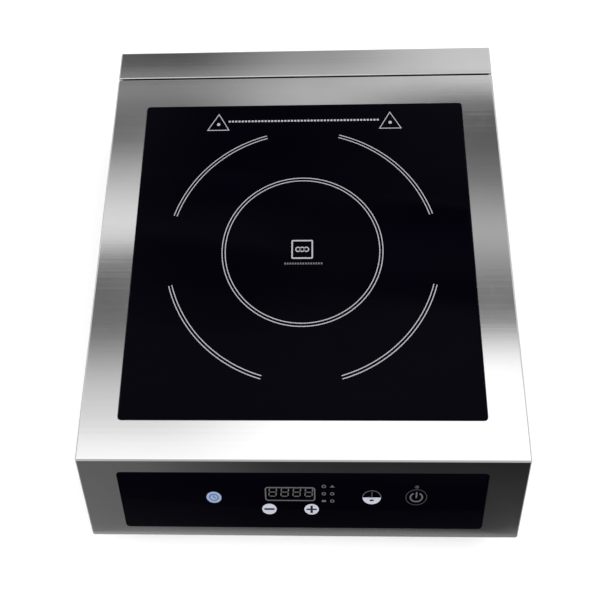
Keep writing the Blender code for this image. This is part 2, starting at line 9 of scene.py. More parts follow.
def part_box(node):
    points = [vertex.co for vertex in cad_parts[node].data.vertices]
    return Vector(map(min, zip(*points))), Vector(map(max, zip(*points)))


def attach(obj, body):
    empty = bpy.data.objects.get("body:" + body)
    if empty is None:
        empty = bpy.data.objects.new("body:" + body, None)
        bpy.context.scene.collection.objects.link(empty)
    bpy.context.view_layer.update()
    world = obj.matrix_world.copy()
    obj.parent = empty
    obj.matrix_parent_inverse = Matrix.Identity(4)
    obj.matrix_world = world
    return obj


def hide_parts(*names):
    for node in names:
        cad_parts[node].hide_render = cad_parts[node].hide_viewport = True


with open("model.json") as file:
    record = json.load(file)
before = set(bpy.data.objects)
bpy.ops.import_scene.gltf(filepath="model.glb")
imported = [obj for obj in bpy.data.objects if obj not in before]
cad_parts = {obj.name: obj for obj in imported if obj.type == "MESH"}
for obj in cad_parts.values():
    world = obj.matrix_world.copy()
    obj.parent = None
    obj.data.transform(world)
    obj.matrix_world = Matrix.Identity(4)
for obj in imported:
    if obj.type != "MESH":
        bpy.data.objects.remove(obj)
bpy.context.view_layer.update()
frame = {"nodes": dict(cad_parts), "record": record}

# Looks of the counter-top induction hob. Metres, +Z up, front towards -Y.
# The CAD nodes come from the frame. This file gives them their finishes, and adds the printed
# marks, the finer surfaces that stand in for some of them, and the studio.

nodes = frame["nodes"]
MM = 0.001

# Places read from the frame
glass_low, glass_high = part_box("glass_top")
ring_centre = (glass_low + glass_high) / 2
GLASS_TOP = glass_high.z
panel_low, panel_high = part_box("control_glass")

# Control face frame: X across, Y up the slant, Z out of the glass
SLANT = math.atan2(59, 53)
PANEL_WIDTH, PANEL_HEIGHT, PANEL_THICK = 280 * MM, 57 * MM, 3 * MM
PANEL_MIDDLE = 41            # its middle, in millimetres down the slant from the top bend
PLATE_CORNER = 2.5 * MM      # of both glass plates
panel_frame = (Matrix.Translation((panel_low + panel_high) / 2) @ Matrix.Rotation(SLANT, 4, "X")
               @ Matrix.Translation((0, 0, PANEL_THICK / 2)))
top_frame = Matrix.Translation((ring_centre.x, ring_centre.y, GLASS_TOP))


class Graph:
    """Short calls that add linked nodes to one shader tree."""

    def __init__(self, tree):
        self.tree = tree
        tree.nodes.clear()

    def add(self, kind, *inputs, **settings):
        node = self.tree.nodes.new("ShaderNode" + kind)
        for name, value in settings.items():
            setattr(node, name, value)
        for socket, value in zip(node.inputs, inputs):
            self.feed(socket, value)
        return node

    def feed(self, socket, value):
        if isinstance(value, bpy.types.NodeSocket):
            self.tree.links.new(value, socket)
        elif value is not None:
            socket.default_value = value

    def maths(self, operation, *values, clamp=False):
        return self.add("Math", *values, operation=operation, use_clamp=clamp).outputs[0]

    def remap(self, value, low, high, to_low=0.0, to_high=1.0, smooth=False):
        kind = "SMOOTHSTEP" if smooth else "LINEAR"
        return self.add("MapRange", value, low, high, to_low, to_high,
                        interpolation_type=kind).outputs[0]

    def blend(self, factor, first, second):
        node = self.add("Mix", data_type="RGBA")
        self.feed(node.inputs[0], factor)
        for socket, value in ((node.inputs[6], first), (node.inputs[7], second)):
            if isinstance(value, (tuple, list)):
                value = (*value, 1.0)[:4]
            self.feed(socket, value)
        return node.outputs[2]

    def ramp(self, factor, stops):
        node = self.add("ValToRGB", factor)
        elements = node.color_ramp.elements
        while len(elements) < len(stops):
            elements.new(0.5)
        for element, (place, tone) in zip(elements, stops):
            element.position = place
            element.color = (tone, tone, tone, 1.0)
        return node.outputs[0]

    def scaled(self, vector, factors):
        return self.add("VectorMath", vector, factors, operation="MULTIPLY").outputs[0]

    def noise(self, vector, scale, detail=3.0, roughness=0.5):
        node = self.add("TexNoise")
        self.feed(node.inputs["Vector"], vector)
        self.feed(node.inputs["Scale"], scale)
        self.feed(node.inputs["Detail"], detail)
        self.feed(node.inputs["Roughness"], roughness)
        return node.outputs[0]

    def cells(self, vector, scale, feature="F1", output=0, metric="EUCLIDEAN"):
        node = self.add("TexVoronoi", feature=feature, distance=metric)
        self.feed(node.inputs["Vector"], vector)
        self.feed(node.inputs["Scale"], scale)
        return node.outputs[output]


def new_material(name):
    """A material, its graph, the object-space position and a Principled shader."""
    made = bpy.data.materials.new(name)
    made.use_nodes = True
    graph = Graph(made.node_tree)
    shader = graph.add("BsdfPrincipled")
    output = graph.add("OutputMaterial")
    graph.feed(output.inputs[0], shader.outputs[0])
    where = graph.add("TexCoord").outputs["Object"]
    return made, graph, where, shader


def bump(graph, shader, height, distance, strength=1.0):
    node = graph.add("Bump")
    node.inputs["Strength"].default_value = strength
    node.inputs["Distance"].default_value = distance
    graph.feed(node.inputs["Height"], height)
    graph.feed(shader.inputs["Normal"], node.outputs[0])


def sheet_steel(name, tone=0.80, rough=0.085):
    """Satin stainless sheet: brush lines run across the front, and down the side walls."""
    made, g, where, shader = new_material(name)
    x, y, z = g.add("SeparateXYZ", where).outputs
    normal = g.add("SeparateXYZ", g.add("TexCoord").outputs["Normal"]).outputs
    side = g.maths("GREATER_THAN", g.maths("ABSOLUTE", normal[0]), 0.7)
    climb = g.maths("ADD", y, g.maths("MULTIPLY", z, g.maths("SUBTRACT", 1.0, side)))
    along = g.add("Mix", side, x, z).outputs[0]
    brush = g.add("CombineXYZ", g.maths("MULTIPLY", along, 14.0),
                  g.maths("MULTIPLY", climb, 2600.0), 0.0).outputs[0]
    lines = g.noise(brush, 1.0, 2.0, 0.6)
    broad = g.add("CombineXYZ", g.maths("MULTIPLY", along, 5.0),
                  g.maths("MULTIPLY", climb, 420.0), 3.0).outputs[0]
    bands = g.noise(broad, 1.0, 3.0, 0.5)
    handling = g.noise(where, 16.0, 4.0, 0.6)
    scratches = g.remap(g.cells(g.scaled(where, (9.0, 130.0, 130.0)), 1.0, "DISTANCE_TO_EDGE"),
                        0.0, 0.012, 1.0, 0.0)
    grain = g.maths("ADD", g.maths("MULTIPLY", lines, 0.6), g.maths("MULTIPLY", bands, 0.4))
    dark = (tone * 0.93, tone * 0.93, tone * 0.94)
    light = (tone * 1.05, tone * 1.05, tone * 1.055)
    g.feed(shader.inputs["Base Color"], g.blend(grain, dark, light))
    wear = g.maths("ADD", g.remap(grain, 0.25, 0.75, rough - 0.02, rough + 0.04),
                   g.remap(handling, 0.35, 0.75, 0.0, 0.03))
    g.feed(shader.inputs["Roughness"], g.maths("ADD", wear, g.maths("MULTIPLY", scratches, 0.02)))
    shader.inputs["Metallic"].default_value = 1.0
    relief = g.maths("ADD", g.maths("MULTIPLY", lines, 0.7), g.maths("MULTIPLY", bands, 0.15))
    height = g.maths("SUBTRACT", relief, g.maths("MULTIPLY", scratches, 0.15))
    bump(g, shader, height, 0.000012, 0.5)
    return made


GLASS_IOR = 1.08             # weaker reflections than real glass, as dark as in the photo


def black_glass(name):
    """Near-black glass ceramic, wiped clean, with the faintest streaks and dust."""
    made, g, where, shader = new_material(name)
    wipe = g.noise(g.scaled(where, (9.0, 26.0, 26.0)), 1.0, 4.0, 0.6)
    dust = g.remap(g.cells(where, 900.0), 0.05, 0.0, 0.0, 1.0)
    g.feed(shader.inputs["Base Color"],
           g.blend(wipe, (0.0005, 0.0004, 0.0015), (0.0013, 0.0010, 0.0031)))
    rough = g.remap(wipe, 0.3, 0.7, 0.035, 0.07)
    g.feed(shader.inputs["Roughness"], g.maths("ADD", rough, g.maths("MULTIPLY", dust, 0.15)))
    shader.inputs["IOR"].default_value = GLASS_IOR
    bump(g, shader, wipe, 0.00002, 0.15)
    return made


def enamel(name, colour, spread=0.12):
    """Fired print on glass: chalky, slightly uneven, with a fine screen-print grain."""
    made, g, where, shader = new_material(name)
    patches = g.noise(where, 160.0, 3.0)
    mesh_grain = g.cells(where, 5200.0)
    mixed = g.maths("ADD", g.maths("MULTIPLY", patches, 0.6), g.maths("MULTIPLY", mesh_grain, 0.5))
    dark = tuple(c * (1 - spread) for c in colour)
    light = tuple(min(1.0, c * (1 + spread)) for c in colour)
    g.feed(shader.inputs["Base Color"], g.blend(mixed, dark, light))
    g.feed(shader.inputs["Roughness"], g.remap(mixed, 0.2, 0.8, 0.42, 0.6))
    shader.inputs["Specular IOR Level"].default_value = 0.25
    bump(g, shader, mixed, 0.00001, 0.4)
    return made


def moulded(name, colour, shade, rough, grain, depth, metallic=0.0, clump=40.0, lift=0.12,
            stretch=(1.0, 1.0, 1.0), cellular=False):
    """A grained surface: two colours clouded together, uneven gloss and a fine relief."""
    made, g, where, shader = new_material(name)
    spread = g.scaled(where, stretch)
    cloud = g.noise(spread, clump, 4.0, 0.6)
    fine = g.cells(spread, grain) if cellular else g.noise(spread, grain, 2.0, 0.6)
    tone = g.maths("ADD", g.maths("MULTIPLY", cloud, 0.65), g.maths("MULTIPLY", fine, 0.45))
    g.feed(shader.inputs["Base Color"], g.blend(tone, shade, colour))
    g.feed(shader.inputs["Roughness"], g.remap(tone, 0.25, 0.8, rough, min(1.0, rough + lift)))
    shader.inputs["Metallic"].default_value = metallic
    bump(g, shader, fine, depth, 0.6)
    return made


def zinc_plate(name):
    """Zinc-plated steel with a crystalline spangle."""
    made, g, where, shader = new_material(name)
    spangle = g.cells(where, 190.0, "F1", 1)
    tint = g.add("RGBToBW", spangle).outputs[0]
    haze = g.noise(where, 600.0, 3.0)
    tone = g.maths("ADD", g.maths("MULTIPLY", tint, 0.6), g.maths("MULTIPLY", haze, 0.4))
    g.feed(shader.inputs["Base Color"], g.blend(tone, (0.42, 0.43, 0.45), (0.66, 0.67, 0.69)))
    g.feed(shader.inputs["Roughness"], g.remap(tone, 0.2, 0.8, 0.26, 0.46))
    shader.inputs["Metallic"].default_value = 1.0
    bump(g, shader, haze, 0.00002, 0.4)
    return made


def litz(name):
    """Enamelled strands, twisted: fine diagonal ridges, the copper darkened between the strands as
    painted shade and at random flecks.
    """
    made, g, where, shader = new_material(name)
    x, y, z = g.add("SeparateXYZ", where).outputs
    round_angle = g.maths("ARCTAN2", g.maths("SUBTRACT", y, ring_centre.y), x)
    lay = g.maths("ADD", g.maths("MULTIPLY", round_angle, 38.0), g.maths("MULTIPLY", z, 2600.0))
    strand_relief_and_shade = g.maths("MULTIPLY", g.maths("ADD", g.maths("SINE", lay), 1.0), 0.5)
    fleck = g.noise(where, 900.0, 3.0)
    # painted shade: the copper turns dark in the grooves between strands, where the relief is low,
    # and darker again at random flecks
    g.feed(shader.inputs["Base Color"], g.blend(g.maths("MULTIPLY", strand_relief_and_shade, fleck),
                                                (0.26, 0.085, 0.030), (0.86, 0.40, 0.19)))
    g.feed(shader.inputs["Roughness"], g.remap(fleck, 0.3, 0.7, 0.22, 0.42))
    shader.inputs["Metallic"].default_value = 0.9
    bump(g, shader, strand_relief_and_shade, 0.00018, 0.8)
    return made


def circuit_board(name):
    """Green solder mask over copper traces, with tinned pads, and near-black drill spots painted as
    the shade inside holes.
    """
    made, g, where, shader = new_material(name)
    flat = g.scaled(where, (1.0, 1.0, 0.02))
    edge = g.cells(flat, 120.0, "DISTANCE_TO_EDGE", 0, "MANHATTAN")
    bands = g.maths("FRACT", g.maths("MULTIPLY", g.cells(flat, 75.0, "F1", 0, "CHEBYCHEV"), 6.0))
    trace = g.maths("MULTIPLY", g.maths("LESS_THAN", bands, 0.45),
                    g.maths("GREATER_THAN", edge, 0.05))
    spot = g.cells(flat, 260.0)
    pad = g.maths("LESS_THAN", spot, 0.16)
    # painted shade: near-black, non-metallic dots stand in for the dark inside of drilled holes
    drill_hole_shade = g.maths("LESS_THAN", spot, 0.06)
    mask = g.blend(trace, (0.012, 0.085, 0.030), (0.030, 0.190, 0.065))
    tinned = g.blend(pad, mask, (0.62, 0.62, 0.60))
    g.feed(shader.inputs["Base Color"], g.blend(drill_hole_shade, tinned, (0.02, 0.02, 0.02)))
    g.feed(shader.inputs["Roughness"], g.remap(g.noise(where, 300.0), 0.3, 0.7, 0.28, 0.44))
    g.feed(shader.inputs["Metallic"], g.maths("MULTIPLY", pad, g.maths("SUBTRACT", 1.0, drill_hole_shade)))
    bump(g, shader, g.maths("ADD", trace, pad), 0.00004, 0.6)
    return made


FINISHES = {
    "brushed_steel": lambda: sheet_steel("satin_steel"),
    "zinc_steel": lambda: zinc_plate("zinc_plate"),
    "ceramic_glass": lambda: black_glass("black_ceramic_glass"),
    "silicone": lambda: moulded("black_silicone", (0.030, 0.030, 0.031), (0.012, 0.012, 0.012),
                                0.5, 900.0, 0.00004),
    "mica": lambda: moulded("mica_flake", (0.72, 0.60, 0.42), (0.42, 0.31, 0.18), 0.30, 160.0,
                            0.00006, 0.25, 30.0, 0.3, cellular=True),
    "litz_copper": lambda: litz("litz_copper"),
    "former_plastic": lambda: moulded("glass_filled_plastic", (0.060, 0.060, 0.062),
                                      (0.022, 0.022, 0.023), 0.42, 700.0, 0.00005,
                                      stretch=(1.0, 0.35, 1.0)),
    "ferrite": lambda: moulded("sintered_ferrite", (0.105, 0.105, 0.110), (0.035, 0.035, 0.038),
                               0.45, 1400.0, 0.00005, 0.3, 120.0, cellular=True),
    "white_plastic": lambda: moulded("white_plastic", (0.80, 0.79, 0.75), (0.66, 0.64, 0.58),
                                     0.36, 500.0, 0.00003),
    "brass": lambda: moulded("turned_brass", (0.86, 0.66, 0.30), (0.58, 0.40, 0.15), 0.20, 260.0,
                             0.00003, 1.0, 90.0, 0.2, stretch=(1.0, 1.0, 9.0)),
    "fan_plastic": lambda: moulded("fan_plastic", (0.036, 0.036, 0.038), (0.014, 0.014, 0.015),
                                   0.34, 1100.0, 0.00003),
    "circuit_board": lambda: circuit_board("circuit_board"),
    "aluminium": lambda: moulded("extruded_aluminium", (0.82, 0.83, 0.85), (0.60, 0.61, 0.64),
                                 0.24, 420.0, 0.00003, 1.0, 60.0, 0.2, stretch=(1.0, 0.04, 1.0)),
    "black_epoxy": lambda: moulded("black_epoxy", (0.040, 0.040, 0.042), (0.015, 0.015, 0.016),
                                   0.38, 1500.0, 0.00003),
    "capacitor_case": lambda: moulded("dipped_epoxy_case", (0.56, 0.075, 0.045),
                                      (0.34, 0.035, 0.022), 0.22, 240.0, 0.00004),
    "nylon": lambda: moulded("grey_nylon", (0.150, 0.150, 0.156), (0.085, 0.085, 0.090), 0.40,
                             800.0, 0.00004),
    "foot_rubber": lambda: moulded("foot_rubber", (0.034, 0.034, 0.035), (0.012, 0.012, 0.012),
                                   0.62, 700.0, 0.00008, lift=0.25),
    "conductive_foam": lambda: moulded("conductive_foam", (0.150, 0.150, 0.160),
                                       (0.030, 0.030, 0.034), 0.80, 1300.0, 0.0002, 0.0, 60.0,
                                       0.15, cellular=True),
}
finishes = {slot: make() for slot, make in FINISHES.items()}
PRINT_GREY = enamel("print_grey", (0.36, 0.355, 0.385))
PRINT_DIM = enamel("print_dim", (0.115, 0.112, 0.112))
PRINT_FAINT = enamel("print_faint", (0.050, 0.050, 0.056))
PRINT_WHITE = enamel("print_white", (0.52, 0.53, 0.62))
PRINT_BLUE = enamel("print_blue", (0.27, 0.36, 0.56))
PRINT_INK = enamel("print_ink", (0.010, 0.012, 0.030))


WELD = 0.01 * MM
CAD_SMOOTH_UP_TO = math.radians(35)
MESH_SMOOTH_UP_TO = math.radians(38)


def shading_group():
    """Welds a node's triangles and shades it smooth across its gentle edges."""
    group = bpy.data.node_groups.new("even_shading", "GeometryNodeTree")
    for direction in ("INPUT", "OUTPUT"):
        group.interface.new_socket("Geometry", in_out=direction, socket_type="NodeSocketGeometry")
    add = group.nodes.new
    start, end = add("NodeGroupInput"), add("NodeGroupOutput")
    weld = add("GeometryNodeMergeByDistance")
    weld.inputs["Distance"].default_value = WELD
    angle = add("GeometryNodeInputMeshEdgeAngle")
    gentle = add("FunctionNodeCompare")
    gentle.operation = "LESS_EQUAL"
    gentle.inputs[1].default_value = CAD_SMOOTH_UP_TO
    edges, faces = add("GeometryNodeSetShadeSmooth"), add("GeometryNodeSetShadeSmooth")
    edges.domain = "EDGE"
    link = group.links.new
    link(start.outputs[0], weld.inputs[0])
    link(weld.outputs[0], edges.inputs[0])
    link(angle.outputs[0], gentle.inputs[0])
    link(gentle.outputs[0], edges.inputs[2])
    link(edges.outputs[0], faces.inputs[0])
    link(faces.outputs[0], end.inputs[0])
    return group


def finish_cad_nodes():
    group = shading_group()
    for part in frame["record"]["subparts"]:
        node = nodes[part["node"]]
        node.data.materials.clear()
        node.data.materials.append(finishes[part["material_slot"]])
        shade = node.modifiers.new("even_shading", "NODES")
        shade.node_group = group
        flat = node.modifiers.new("flat_faces_first", "WEIGHTED_NORMAL")
        flat.weight = 100
        flat.keep_sharp = True


finish_cad_nodes()


def to_mesh(name, bm, smooth=True):
    bmesh.ops.recalc_face_normals(bm, faces=bm.faces)
    mesh = bpy.data.meshes.new(name)
    bm.to_mesh(mesh)
    bm.free()
    if smooth:
        mesh.shade_smooth()
        mesh.set_sharp_from_angle(angle=MESH_SMOOTH_UP_TO)
    return mesh


def show(name, mesh, slot, stands_for=(), body="housing", finish=None):
    """A mesh in the shared frame becomes a piece of a body, in the place of some CAD nodes."""
    mesh.materials.clear()
    mesh.materials.append(finish or finishes[slot])
    piece = bpy.data.objects.new(name, mesh)
    bpy.context.scene.collection.objects.link(piece)
    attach(piece, body)
    if stands_for:
        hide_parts(*stands_for)
    return piece


# Printed marks

PRINT_HEIGHT = 0.05 * MM     # above the glass
PRINT_SUNK = 0.02 * MM       # and into it
OVERPRINT = 0.04 * MM        # a second colour lies this much higher
MITRE_LIMIT = 0.35


def lift(bm, outline_pairs, closed):
    """A closed raised strip through pairs of (left, right) points."""
    rows = []
    for left, right in outline_pairs:
        rows.append([bm.verts.new((*left, -PRINT_SUNK)), bm.verts.new((*left, PRINT_HEIGHT)),
                     bm.verts.new((*right, PRINT_HEIGHT)), bm.verts.new((*right, -PRINT_SUNK))])
    count = len(rows)
    for index in range(count if closed else count - 1):
        here, there = rows[index], rows[(index + 1) % count]
        for corner in range(4):
            after = (corner + 1) % 4
            bm.faces.new((here[corner], here[after], there[after], there[corner]))
    if not closed:
        bm.faces.new(rows[0][::-1])
        bm.faces.new(rows[-1])


def stroke(bm, path, width, closed=False):
    """A raised line of even width along a flat path, with mitred corners."""
    points = [Vector(p) for p in path]
    count = len(points)
    pairs = []
    for index, point in enumerate(points):
        before = points[index - 1] if closed or index else None
        after = points[(index + 1) % count] if closed or index < count - 1 else None
        ahead = (after - point).normalized() if after else (point - before).normalized()
        behind = (point - before).normalized() if before else ahead
        middle = (ahead + behind).normalized()
        across = Vector((-middle.y, middle.x))
        reach = width / 2 / max(MITRE_LIMIT, middle.dot(ahead))
        pairs.append((point + across * reach, point - across * reach))
    lift(bm, pairs, closed)


def patch(bm, outline):
    """A raised filled shape."""
    low = [bm.verts.new((*p, -PRINT_SUNK)) for p in outline]
    high = [bm.verts.new((*p, PRINT_HEIGHT)) for p in outline]
    count = len(outline)
    for index in range(count):
        after = (index + 1) % count
        bm.faces.new((low[index], low[after], high[after], high[index]))
    bm.faces.new(high)
    bm.faces.new(low[::-1])


def arc(centre, radius, start=0.0, end=360.0, steps=48):
    """Points round a circle, in degrees; a whole turn leaves out its repeated last point."""
    whole = abs(end - start) >= 360
    count = steps if whole else steps + 1
    angles = [math.radians(start + (end - start) * i / steps) for i in range(count)]
    return [(centre[0] + radius * math.cos(a), centre[1] + radius * math.sin(a)) for a in angles]


def rounded(centre, width, height, corner, steps=5):
    points = []
    for quarter, (sx, sy) in enumerate(((1, 1), (-1, 1), (-1, -1), (1, -1))):
        middle = (centre[0] + sx * (width / 2 - corner), centre[1] + sy * (height / 2 - corner))
        points += arc(middle, corner, 90 * quarter, 90 * quarter + 90, steps)
    return points


def mark(name, frame_matrix, finish, draw):
    """One printed piece: draw fills a mesh on the plane of the given frame."""
    bm = bmesh.new()
    draw(bm)
    bmesh.ops.transform(bm, matrix=frame_matrix, verts=bm.verts)
    return show(name, to_mesh(name, bm, smooth=False), "ceramic_glass", finish=finish)


RING_RADIUS = 65 * MM
ARC_RADIUS = 111.75 * MM
ARC_SWEEP = 57.4             # degrees
LINE = 0.75 * MM
LINE_GAP = 2.6 * MM          # between the two lines of each ring, middle to middle


def draw_ring(bm):
    for side in (-1, 1):
        stroke(bm, arc((0, 0), RING_RADIUS + side * LINE_GAP / 2, steps=128), LINE, True)


def draw_arcs(bm):
    for quarter in range(4):
        middle = 45 + 90 * quarter
        for side in (-1, 1):
            path = arc((0, 0), ARC_RADIUS + side * LINE_GAP / 2, middle - ARC_SWEEP / 2,
                       middle + ARC_SWEEP / 2, 40)
            stroke(bm, path, LINE)


def draw_centre(bm):
    """A plain frame round three coil loops."""
    half = 8.3 * MM
    stroke(bm, rounded((0, 0), 2 * half, 2 * half * 0.94, 0.6 * MM, 2), 1.2 * MM, True)
    for side in (-1, 0, 1):
        stroke(bm, arc((side * 3.4 * MM, 0), 1.9 * MM, steps=20), 0.9 * MM, True)


def draw_dashes(bm, width, height, count, gap_share=0.35):
    """A row of short plain dashes."""
    pitch = width / count
    for index in range(count):
        middle = -width / 2 + pitch * (index + 0.5)
        reach = pitch * (1 - gap_share) / 2
        stroke(bm, [(middle - reach, 0), (middle + reach, 0)], height)


def draw_triangle(bm, width, height):
    points = [(-width / 2, -height / 2), (width / 2, -height / 2), (0, height / 2)]
    stroke(bm, points, 0.7 * MM, True)
    patch(bm, arc((0, -height * 0.14), 1.5 * MM, steps=16))


def make_top_marks():
    mark("cooking_zone_ring", top_frame, PRINT_GREY, draw_ring)
    mark("pan_guide_arcs", top_frame, PRINT_GREY, draw_arcs)
    mark("centre_mark", top_frame, PRINT_GREY, draw_centre)
    below = top_frame @ Matrix.Translation((1 * MM, -12.6 * MM, 0))
    mark("centre_dashes", below, PRINT_DIM, lambda bm: draw_dashes(bm, 32 * MM, 1.6 * MM, 15))
    row = top_frame @ Matrix.Translation((0.3 * MM, 123.8 * MM, 0))
    mark("rear_dashes", row, PRINT_GREY, lambda bm: draw_dashes(bm, 134 * MM, 1.7 * MM, 46))
    for name, x in (("rear_triangle_left", -75 * MM), ("rear_triangle_right", 76.6 * MM)):
        spot = top_frame @ Matrix.Translation((x, 123.2 * MM, 0))
        mark(name, spot, PRINT_GREY, lambda bm: draw_triangle(bm, 18.8 * MM, 16.4 * MM))


def on_panel(x, down):
    """A place on the control glass: millimetres right of its middle and down the slant."""
    return panel_frame @ Matrix.Translation((x * MM, (PANEL_MIDDLE - down) * MM, 0))


# Ends of a digit's strokes, in widths across and half heights up
SEGMENTS = {"top": ((0, 2), (1, 2)), "upper_left": ((0, 1), (0, 2)),
            "upper_right": ((1, 1), (1, 2)), "middle": ((0, 1), (1, 1)),
            "lower_left": ((0, 0), (0, 1)), "lower_right": ((1, 0), (1, 1)),
            "bottom": ((0, 0), (1, 0))}


def draw_digits(bm):
    """Four seven-segment digits, unlit."""
    wide, tall, lean, short = 5.4 * MM, 4.3 * MM, 0.35 * MM, 0.12
    for digit in range(4):
        left = (digit - 1.5) * 9.2 * MM - wide / 2
        for ends in SEGMENTS.values():
            corners = [Vector((left + x * wide + y * lean, (y - 1) * tall)) for x, y in ends]
            run = (corners[1] - corners[0]) * short
            stroke(bm, [corners[0] + run, corners[1] - run], 0.8 * MM)


def draw_timer(bm):
    stroke(bm, arc((0, 0), 3.3 * MM, steps=32), 0.6 * MM, True)
    stroke(bm, [(0, 2.0 * MM), (0, 0), (1.6 * MM, -1.2 * MM)], 0.6 * MM)


def draw_power(bm):
    stroke(bm, arc((0, 0), 4.5 * MM, 120, 420, 36), 1.2 * MM)
    stroke(bm, [(0, -0.6 * MM), (0, 5.4 * MM)], 1.2 * MM)


def draw_indicators(bm):
    """Six small plain marks in two columns: four rings, a bar and a triangle."""
    for column in range(2):
        for row in range(3):
            x, y = (column - 0.5) * 6.4 * MM, (1 - row) * 7.6 * MM
            if row == 2 and not column:
                patch(bm, rounded((x, y), 3.2 * MM, 2.0 * MM, 0.4 * MM, 2))
            elif column and not row:
                patch(bm, [(x - 1.8 * MM, y - 1.0 * MM), (x + 1.8 * MM, y - 1.0 * MM),
                           (x, y + 1.5 * MM)])
            else:
                stroke(bm, arc((x, y), 1.3 * MM, steps=16), 0.7 * MM, True)


def overprinted(matrix):
    return matrix @ Matrix.Translation((0, 0, OVERPRINT))


def make_panel_marks():
    timer = on_panel(-67.7, 37.3)
    mark("timer_disc", timer, PRINT_BLUE, lambda bm: patch(bm, arc((0, 0), 5.8 * MM, steps=48)))
    mark("timer_hands", overprinted(timer), PRINT_INK, draw_timer)
    for name, x in (("minus", -25.3), ("plus", 7.5)):
        spot = on_panel(x, 49.4)
        mark(name + "_disc", spot, PRINT_WHITE,
             lambda bm: patch(bm, arc((0, 0), 5.6 * MM, steps=48)))

        def glyph(bm):
            half = 0.9 * MM if name == "minus" else 0.75 * MM
            stroke(bm, [(-4.0 * MM, 0), (4.0 * MM, 0)], 2 * half)
            if name == "plus":
                for side in (-1, 1):
                    stroke(bm, [(0, side * half), (0, side * 3.9 * MM)], 1.8 * MM)

        mark(name + "_glyph", overprinted(spot), PRINT_INK, glyph)
    mode = on_panel(53.6, 36.5)
    radius = 7.0 * MM
    mark("mode_outline", mode, PRINT_DIM,
         lambda bm: stroke(bm, arc((0, 0), radius, 0, 180, 32), 0.5 * MM))
    mark("mode_half", mode, PRINT_WHITE, lambda bm: patch(bm, arc((0, 0), radius, 180, 360, 32)))
    mark("mode_stem", mode, PRINT_FAINT,
         lambda bm: stroke(bm, [(0, 0.6 * MM), (0, 5.6 * MM)], 0.9 * MM))
    mark("mode_drop", overprinted(mode), PRINT_INK,
         lambda bm: patch(bm, [(x * 1.7, y - 2.9 * MM)
                               for x, y in arc((0, 0), 1.0 * MM, steps=20)]))
    power = on_panel(87.4, 36)
    mark("power_ring", power, PRINT_FAINT,
         lambda bm: stroke(bm, arc((0, 0), 7.9 * MM, steps=56), 0.55 * MM, True))
    mark("power_glyph", power, PRINT_DIM, draw_power)
    mark("power_lamp", on_panel(87.3, 25.4), PRINT_FAINT,
         lambda bm: patch(bm, arc((0, 0), 1.6 * MM, steps=20)))
    window = on_panel(-8.8, 33.4)
    mark("display_outline", window, PRINT_DIM,
         lambda bm: stroke(bm, rounded((0, 0), 37.6 * MM, 13.4 * MM, 2.0 * MM), 0.95 * MM, True))
    mark("display_digits", on_panel(-8.6, 31.4), PRINT_DIM, draw_digits)
    mark("indicator_pictograms", on_panel(20.2, 32.9), PRINT_DIM, draw_indicators)


make_top_marks()
make_panel_marks()


# Finer surfaces: each stands for a CAD node of about the same size

def worked(base, tools, operation):
    """The base mesh cut by the tool meshes, or joined with them."""
    link = bpy.context.scene.collection.objects.link
    body = bpy.data.objects.new("work", base)
    link(body)
    others = []
    for tool in tools:
        other = bpy.data.objects.new("tool", tool)
        link(other)
        step = body.modifiers.new("step", "BOOLEAN")
        step.operation = operation
        step.object = other
        others.append(other)
    bpy.context.view_layer.update()
    seen = body.evaluated_get(bpy.context.evaluated_depsgraph_get())
    result = bpy.data.meshes.new_from_object(seen)
    for temporary in [body, *others]:
        bpy.data.objects.remove(temporary, do_unlink=True)
    result.shade_smooth()
    result.set_sharp_from_angle(angle=MESH_SMOOTH_UP_TO)
    return result


def block(size, at=(0, 0, 0), corner=0.0, edge=0.0, steps=4):
    """A box whose upright corners and then all its edges are rounded."""
    bm = bmesh.new()
    bmesh.ops.create_cube(bm, size=1.0)
    bmesh.ops.scale(bm, vec=size, verts=bm.verts)
    if corner:
        upright = [e for e in bm.edges if abs((e.verts[0].co - e.verts[1].co).z) > size[2] / 2]
        bmesh.ops.bevel(bm, geom=upright, offset=corner, segments=steps, profile=0.5,
                        affect="EDGES")
    if edge:
        sharp = [e for e in bm.edges if e.calc_face_angle(0) > math.radians(40)]
        bmesh.ops.bevel(bm, geom=sharp, offset=edge, segments=2, profile=0.5, affect="EDGES")
    bmesh.ops.translate(bm, vec=at, verts=bm.verts)
    return bm


def round_ring(radius, _angle):
    return radius


def hexagon(radius, angle):
    """The ring's radius is that of its corners."""
    sector = math.pi / 3
    return radius * math.cos(sector / 2) / math.cos(angle % sector - sector / 2)


def ribbed(radius, angle):
    """A grip with sixteen rounded grooves."""
    return radius - 0.35 * MM * (0.5 - 0.5 * math.cos(16 * angle)) ** 2


def turned(rings, steps=64, closed=False):
    """A turned solid; a ring is (radius, height) or (radius, height, shape)."""
    bm = bmesh.new()
    loops = []
    for radius, height, *shape in rings:
        outline = shape[0] if shape else round_ring
        angles = [2 * math.pi * step / steps for step in range(steps)]
        loops.append([bm.verts.new((outline(radius, a) * math.cos(a),
                                    outline(radius, a) * math.sin(a), height)) for a in angles])
    joined = list(zip(loops, loops[1:]))
    if closed:
        joined.append((loops[-1], loops[0]))
    else:
        bm.faces.new(loops[0])
        bm.faces.new(loops[-1])
    for lower, upper in joined:
        for step in range(steps):
            after = (step + 1) % steps
            bm.faces.new((lower[step], lower[after], upper[after], upper[step]))
    return bm


def thread(radius, start, end, pitch):
    """Rings of a screw thread, as crests and roots."""
    count = round(abs(end - start) / pitch * 2)
    depth = pitch * 0.3
    return [(radius - depth * (index % 2), start + (end - start) * index / count)
            for index in range(count + 1)]


def quarter_round(radius, height, size, steps=4):
    """Rings that round an upper edge off, from the side wall onto the flat."""
    turns = [math.radians(90 * step / steps) for step in range(steps + 1)]
    return [(radius - size + size * math.cos(t), height - size + size * math.sin(t))
            for t in turns]


